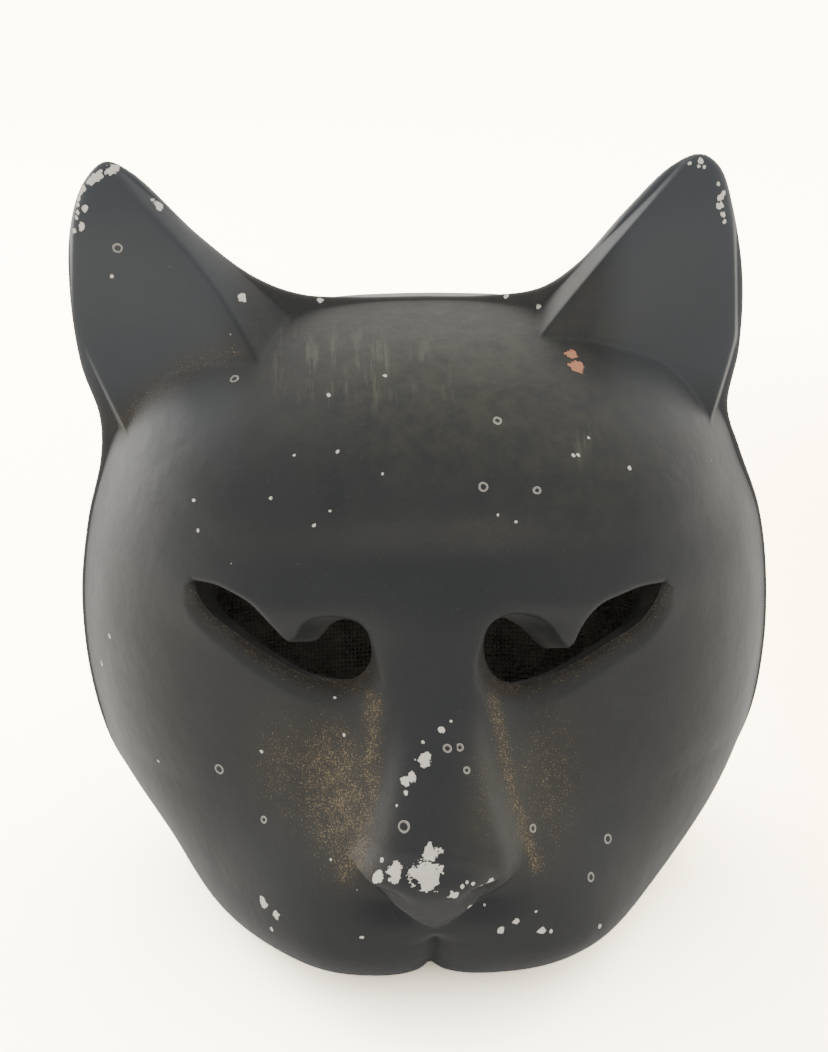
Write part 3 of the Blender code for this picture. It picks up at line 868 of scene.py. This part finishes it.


# %% [markdown]
# ## Black paint over plaster
#
# The paint is a matt black that has gone a little grey and uneven. On the ears it is painted bluer
# and paler, a painted reflection of the bright sky that their up-tilted fronts face. A noise's scale
# is in lumps to the metre: 22 gives clouds as big as a cheek, and 900 gives a tooth of about a
# millimetre. Colours are laid on one after another, as real wear is.

# %% The black itself
def black_ground(tree, place):
    clouds = ramp(tree, noise(tree, place, 22.0, 4.0), 0.3, 0.7)
    tooth = noise(tree, place, 900.0, 3.0, 0.7)
    color = blend(tree, clouds, (0.0115, 0.0128, 0.0145, 1), (0.019, 0.0204, 0.0205, 1))
    color = blend(tree, ramp(tree, tooth, 0.6, 0.75), color, (0.032, 0.032, 0.03, 1))
    return color, tooth


def painted_sky_reflection_on_ears(tree, place, color):
    axes = split(tree, place)
    beside = calc(tree, "ABSOLUTE", calc(tree, "SUBTRACT", axes[0], FACE_MIDDLE.x))
    high, wide = ramp(tree, axes[2], 0.138, 0.160), ramp(tree, beside, 0.044, 0.058)
    # Painted reflection: the ears' fronts are made bluer and paler, standing for the bright sky they face.
    ear_reflection_share = calc(tree, "MULTIPLY", calc(tree, "MULTIPLY", high, wide), 0.8)
    return blend(tree, ear_reflection_share, color, (0.052, 0.058, 0.066, 1))


# %% [markdown]
# ## Rubbing, painted crown light and scrapes
#
# Handling has rubbed the paint to a green-brown, in patches. On the crown the same green-brown is
# partly painted light, making the up-turned top lighter as the sky lights it. The short upright
# scrapes are one noise, stretched along its height and depth, which turns its lumps into streaks.

# %% Rubbed and lit crown, and scrapes
def rubbed_and_lit_crown(tree, place, color):
    patches = ramp(tree, noise(tree, place, 160.0, 6.0, 0.7), 0.25, 0.75)
    share = calc(tree, "MULTIPLY", calc(tree, "MULTIPLY", read(tree, "rub"), patches), 0.9)
    # Green-brown rubbing; on the crown it also paints the sky's light on the up-turned top.
    color = blend(tree, share, color, (0.052, 0.05, 0.03, 1))
    stretched = vector_calc(tree, "MULTIPLY", place, (1.0, 0.14, 0.14))
    streaks = ramp(tree, noise(tree, stretched, 330.0, 4.0, 0.65), 0.5, 0.66)
    share = calc(tree, "MULTIPLY", calc(tree, "MULTIPLY", streaks, read(tree, "scrape")), 0.85)
    return blend(tree, share, color, (0.085, 0.082, 0.058, 1))


# %% [markdown]
# ## Bronze dust
#
# Powder shows as a brown haze with single bright grains in it. The more dust there is, the lower
# the value that a fine noise must pass to become a grain, so the grains thin out towards the
# dust's edge and don't just fade.

# %% Haze and grains
def dusted(tree, place, color):
    patches = ramp(tree, noise(tree, place, 260.0, 5.0, 0.65), 0.2, 0.7)
    amount = calc(tree, "MULTIPLY", read(tree, "dust"), mix_value(tree, patches, 0.45, 1.0))
    threshold = mix_value(tree, amount, 0.72, 0.47)
    grains = ramp(tree, noise(tree, place, 2600.0, 2.0, 0.6), threshold, calc(tree, "ADD", threshold, 0.09))
    grains = calc(tree, "MULTIPLY", grains, ramp(tree, amount, 0.02, 0.3))
    color = blend(tree, calc(tree, "MULTIPLY", amount, 0.75), color, (0.06, 0.049, 0.028, 1))
    color = blend(tree, calc(tree, "MULTIPLY", grains, 0.8), color, (0.3, 0.225, 0.125, 1))
    return color, amount, grains


# %% [markdown]
# ## Pinhead specks
#
# Voronoi cells of about 8 mm each hold one dot at most: a cell's own random colour decides
# whether it has a dot, and how large.

# %% Specks
def specked(tree, place, color):
    cells = tree.nodes.new("ShaderNodeTexVoronoi")
    cells.inputs["Scale"].default_value = 130.0
    wire(tree, cells.inputs["Vector"], place)
    chance = tree.nodes.new("ShaderNodeSeparateColor")
    wire(tree, chance.inputs["Color"], cells.outputs["Color"])
    size = calc(tree, "MULTIPLY", ramp(tree, chance.outputs["Red"], 0.8, 1.0), 0.04)
    dots = ramp(tree, calc(tree, "SUBTRACT", cells.outputs["Distance"], size), 0.004, -0.008)
    dots = calc(tree, "MULTIPLY", dots, ramp(tree, chance.outputs["Red"], 0.8, 0.84))
    return blend(tree, calc(tree, "MULTIPLY", dots, 0.6), color, (0.45, 0.42, 0.36, 1))


# %% [markdown]
# ## Chips and bubble rings
#
# The distance to the nearest mark's middle, less its size, is 0 on the mark's edge. A chip is
# everything within, a ring is a thin band at the edge with a small crater inside it. Before the
# distance is taken, noise moves the place a little, more for a chip, and that tears its outline.

# %% Marks from distances
def marked(tree, place):
    """The bare plaster's colour, how bare each place is, the craters and the distance to an edge."""
    size, kind, _ = split(tree, read(tree, "mark_shape", "Vector"))
    is_ring = calc(tree, "COMPARE", kind, float(RING), 0.1)
    is_old = calc(tree, "COMPARE", kind, float(OLD_PAINT), 0.1)
    push = vector_calc(tree, "SUBTRACT", noise(tree, place, 380.0, 3.0, 0.6, True), (0.5, 0.5, 0.5))
    push = scaled(tree, push, calc(tree, "MULTIPLY", size, mix_value(tree, is_ring, 2.6, 0.7)))
    moved = vector_calc(tree, "ADD", place, push)
    gap = vector_calc(tree, "DISTANCE", moved, read(tree, "mark_place", "Vector"), output=1)
    edge = calc(tree, "SUBTRACT", gap, size)
    within = ramp(tree, edge, 0.00007, -0.00007)
    ring = calc(tree, "MULTIPLY", ramp(tree, calc(tree, "ABSOLUTE", edge), 0.00034, 0.00016), is_ring)
    chip = calc(tree, "MULTIPLY", within, calc(tree, "SUBTRACT", 1.0, is_ring))
    bare = calc(tree, "MAXIMUM", chip, calc(tree, "MULTIPLY", ring, 0.55))
    clean = ramp(tree, noise(tree, place, 700.0, 4.0, 0.7), 0.3, 0.7)
    plaster = blend(tree, clean, (0.86, 0.79, 0.66, 1), (0.93, 0.89, 0.8, 1))
    plaster = blend(tree, is_old, plaster, (0.62, 0.27, 0.15, 1))
    return plaster, bare, calc(tree, "MULTIPLY", within, is_ring), edge


# %% [markdown]
# ## The whole paint
#
# The layers go on in order, and the inside of the shell gets a thin grey wash. Roughness varies
# with a noise of its own, because an even gloss is what makes paint look like plastic, and the
# bump adds soft unevenness of the cast, the paint's tooth and the depth of each chip, in metres.

# %% Put the layers together
def black_paint():
    material, tree, shader, place = new_material("black_painted_plaster")
    color, tooth = black_ground(tree, place)
    color = painted_sky_reflection_on_ears(tree, place, color)
    color = rubbed_and_lit_crown(tree, place, color)
    color, amount, grains = dusted(tree, place, color)
    color = specked(tree, place, color)
    plaster, bare, crater, edge = marked(tree, place)
    color = blend(tree, bare, color, plaster)
    clouds = ramp(tree, noise(tree, place, 90.0, 5.0), 0.35, 0.65)
    wash = blend(tree, clouds, (0.03, 0.031, 0.03, 1), (0.1, 0.1, 0.09, 1))
    wire(tree, shader.inputs["Base Color"], blend(tree, read(tree, "inside"), color, wash))

    dull = calc(tree, "ADD", 0.36, calc(tree, "MULTIPLY", noise(tree, place, 65.0, 5.0, 0.65), 0.16))
    dull = calc(tree, "ADD", dull, calc(tree, "MULTIPLY", amount, 0.12))
    wire(tree, shader.inputs["Roughness"], mix_value(tree, bare, dull, 0.9))
    wire(tree, shader.inputs["Metallic"], calc(tree, "MULTIPLY", grains, 0.35))
    shader.inputs["Sheen Weight"].default_value = 0.12
    shader.inputs["Sheen Roughness"].default_value = 0.45

    height = calc(tree, "MULTIPLY", noise(tree, place, 75.0, 3.0), 0.00035)
    painted = ramp(tree, edge, -0.0002, 0.0001)
    for layer, depth in ((tooth, 0.00003), (painted, 0.00025), (crater, -0.0003), (grains, 0.00003)):
        height = calc(tree, "ADD", height, calc(tree, "MULTIPLY", layer, depth))
    add_bump(tree, shader, height)
    return material


paint = black_paint()
for skin in (front_skin, back_skin):
    skin.data.materials.clear()
    skin.data.materials.append(paint)
print("paint:", len(paint.node_tree.nodes), "nodes")

# %% [markdown]
# ## Scrim
#
# Scrim is an open jute cloth dipped in plaster. Two crossed waves make its weave, which shows
# least where the plaster was smeared thick. The lining is darker round the eyes: an oval at each
# eye, in front only, says where.

# %% The scrim
EYE_MIDDLE_X, EYE_MIDDLE_Z = 0.036, 0.094
DARK_REACH = (0.042, 0.034)


def near_an_eye(tree, place):
    """1 round the eyes on the front lining, fading out raggedly."""
    axes = split(tree, place)
    beside = calc(tree, "ABSOLUTE", calc(tree, "SUBTRACT", axes[0], FACE_MIDDLE.x))
    beside = calc(tree, "SUBTRACT", beside, EYE_MIDDLE_X)
    above = calc(tree, "MULTIPLY", calc(tree, "SUBTRACT", axes[2], EYE_MIDDLE_Z), 1.7)
    squares = [calc(tree, "MULTIPLY", side, side) for side in (beside, above)]
    reach = calc(tree, "SQRT", calc(tree, "ADD", *squares))
    reach = calc(tree, "ADD", reach, calc(tree, "MULTIPLY", noise(tree, place, 120.0, 4.0), 0.008))
    in_front = ramp(tree, axes[1], FACE_MIDDLE.y - 0.015, FACE_MIDDLE.y - 0.025)
    return calc(tree, "MULTIPLY", ramp(tree, reach, *DARK_REACH), in_front)


def crossed_threads(tree, place):
    threads = []
    for direction in ("X", "Z"):
        wave = tree.nodes.new("ShaderNodeTexWave")
        wave.bands_direction = direction
        wave.inputs["Scale"].default_value = 240.0
        wave.inputs["Distortion"].default_value = 1.4
        wave.inputs["Detail Scale"].default_value = 0.6
        wire(tree, wave.inputs["Vector"], place)
        threads.append(wave.outputs["Fac"])
    return calc(tree, "MULTIPLY", *threads)


def scrim():
    material, tree, shader, place = new_material("scrim_plaster")
    weave = crossed_threads(tree, place)
    smeared = ramp(tree, noise(tree, place, 60.0, 4.0), 0.35, 0.65)
    color = blend(tree, smeared, (0.50, 0.46, 0.38, 1), (0.68, 0.65, 0.58, 1))
    color = blend(tree, calc(tree, "MULTIPLY", weave, 0.35), color, (0.36, 0.31, 0.23, 1))
    # The front lining is made darker round the eyes.
    color = blend(tree, near_an_eye(tree, place), color, (0.1, 0.105, 0.105, 1))
    wire(tree, shader.inputs["Base Color"], color)
    shader.inputs["Roughness"].default_value = 0.92
    height = calc(tree, "MULTIPLY", weave, calc(tree, "SUBTRACT", 1.2, smeared))
    height = calc(tree, "MULTIPLY", height, 0.0004)
    lumps = calc(tree, "MULTIPLY", noise(tree, place, 500.0), 0.0002)
    add_bump(tree, shader, calc(tree, "ADD", height, lumps))
    return material


# %% [markdown]
# ## Wire
#
# The ear wires are galvanised steel: a dull zinc grey with cloudy spangles that are now brighter,
# now duller.

# %% The wire
def galvanised():
    material, tree, shader, place = new_material("galvanised_wire")
    cloudy = ramp(tree, noise(tree, place, 300.0, 5.0, 0.7), 0.35, 0.7)
    wire(tree, shader.inputs["Base Color"], blend(tree, cloudy, (0.42, 0.43, 0.44, 1), (0.62, 0.62, 0.6, 1)))
    wire(tree, shader.inputs["Roughness"], mix_value(tree, cloudy, 0.35, 0.6))
    wire(tree, shader.inputs["Metallic"], mix_value(tree, cloudy, 1.0, 0.75))
    add_bump(tree, shader, calc(tree, "MULTIPLY", noise(tree, place, 900.0), 0.00005))
    return material


# %% [markdown]
# ## Dressing the pieces from the frame
#
# The linings, the bandages and the wires keep the frame's own meshes and take a finish by name.

# %% Give each its finish
scrim_finish, wire_finish = scrim(), galvanised()
FINISHES = {"scrim": scrim_finish, "bandage": scrim_finish, "wire": wire_finish}
dressed = []
for obj in bpy.data.objects:
    for word, finish in FINISHES.items():
        if obj.type == "MESH" and word in obj.name:
            obj.data.materials.clear()
            obj.data.materials.append(finish)
            dressed.append(obj.name)
print("dressed:", dressed)

# %% [markdown]
# ## Each skin in place of its shell
#
# Each skin belongs to the frame's one body and takes the place of the plain shell that it was
# modelled on.

# %% Attach each skin and hide its shell
for skin, node in ((front_skin, "front_shell"), (back_skin, "back_shell")):
    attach(skin, "root")
    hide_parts(node)

# %% [markdown]
# ## The table, the light and the camera
#
# The head stands on a pale table that reaches past the edges of the picture, with a large window
# behind it on the left. A matt black thing shows its form by the soft, broad sheen at its edges,
# so the light is one big window and a room that is brighter at the back, with no hard lamp. To the
# camera alone the table is brighter than white, which overexposes it without lighting the head
# from below. Towards the front right it turns a darker, warmer beige, which is painted shade.

# %% The table
def table_paint():
    material, tree, shader, place = new_material("pale_table")
    cloudy = ramp(tree, noise(tree, place, 1.7, 3.0), 0.3, 0.7)
    wire(tree, shader.inputs["Base Color"], blend(tree, cloudy, (0.92, 0.89, 0.82, 1), (0.95, 0.93, 0.88, 1)))
    shader.inputs["Roughness"].default_value = 0.55
    to_right, to_back, _ = split(tree, place)
    # Painted shade: the table turns darker and warmer towards the front right.
    painted_warm_shade = calc(tree, "MULTIPLY", ramp(tree, to_right, 0.0, 0.3), ramp(tree, to_back, 0.7, 0.1))
    bright = tree.nodes.new("ShaderNodeBsdfDiffuse")
    wire(tree, bright.inputs["Color"], blend(tree, painted_warm_shade, (9.0, 8.2, 6.4, 1), (6.0, 4.4, 2.2, 1)))
    either = tree.nodes.new("ShaderNodeMixShader")
    wire(tree, either.inputs[0], tree.nodes.new("ShaderNodeLightPath").outputs["Is Camera Ray"])
    wire(tree, either.inputs[1], shader.outputs[0])
    wire(tree, either.inputs[2], bright.outputs[0])
    wire(tree, tree.nodes["Material Output"].inputs["Surface"], either.outputs[0])
    return material


bpy.ops.mesh.primitive_plane_add(size=8)
floor = bpy.context.object
floor.name = "floor"
floor.data.materials.append(table_paint())

# %% The room and the window
world = bpy.data.worlds.new("room")
bpy.context.scene.world = world
world.use_nodes = True
sky = world.node_tree
direction = sky.nodes.new("ShaderNodeSeparateXYZ")
wire(sky, direction.inputs[0], sky.nodes.new("ShaderNodeTexCoord").outputs["Generated"])
room = blend(sky, ramp(sky, direction.outputs[1], -0.5, 0.9), (0.52, 0.52, 0.53, 1), (1.5, 1.46, 1.36, 1))
wire(sky, sky.nodes["Background"].inputs["Color"], room)
sky.nodes["Background"].inputs["Strength"].default_value = 1.6


def soft_light(name, place, target, size, power):
    light = bpy.data.lights.new(name, "AREA")
    light.energy = power
    light.size = size
    lamp = bpy.data.objects.new(name, light)
    bpy.context.scene.collection.objects.link(lamp)
    lamp.location = place
    lamp.rotation_euler = (Vector(target) - lamp.location).to_track_quat("-Z", "Y").to_euler()
    return lamp


WINDOW_SIZE, WINDOW_WATTS = 1.0, 10
soft_light("window", (-1.1, 0.85, 0.5), (0, 0, 0.1), WINDOW_SIZE, WINDOW_WATTS)

# %% The camera
AZIMUTH, ELEVATION, DISTANCE = math.radians(-3), math.radians(22), 0.45
TARGET = FACE_MIDDLE + Vector((-3, -20, 116)) * MM
LENS_LENGTH = 55.6
away = Vector((
    math.sin(AZIMUTH) * math.cos(ELEVATION), -math.cos(AZIMUTH) * math.cos(ELEVATION), math.sin(ELEVATION)
))
lens = bpy.data.cameras.new("camera")
lens.sensor_width = 36
lens.lens = LENS_LENGTH
camera = bpy.data.objects.new("camera", lens)
bpy.context.scene.collection.objects.link(camera)
camera.location = TARGET + away * DISTANCE
camera.rotation_euler = (-away).to_track_quat("-Z", "Y").to_euler()
bpy.context.scene.camera = camera
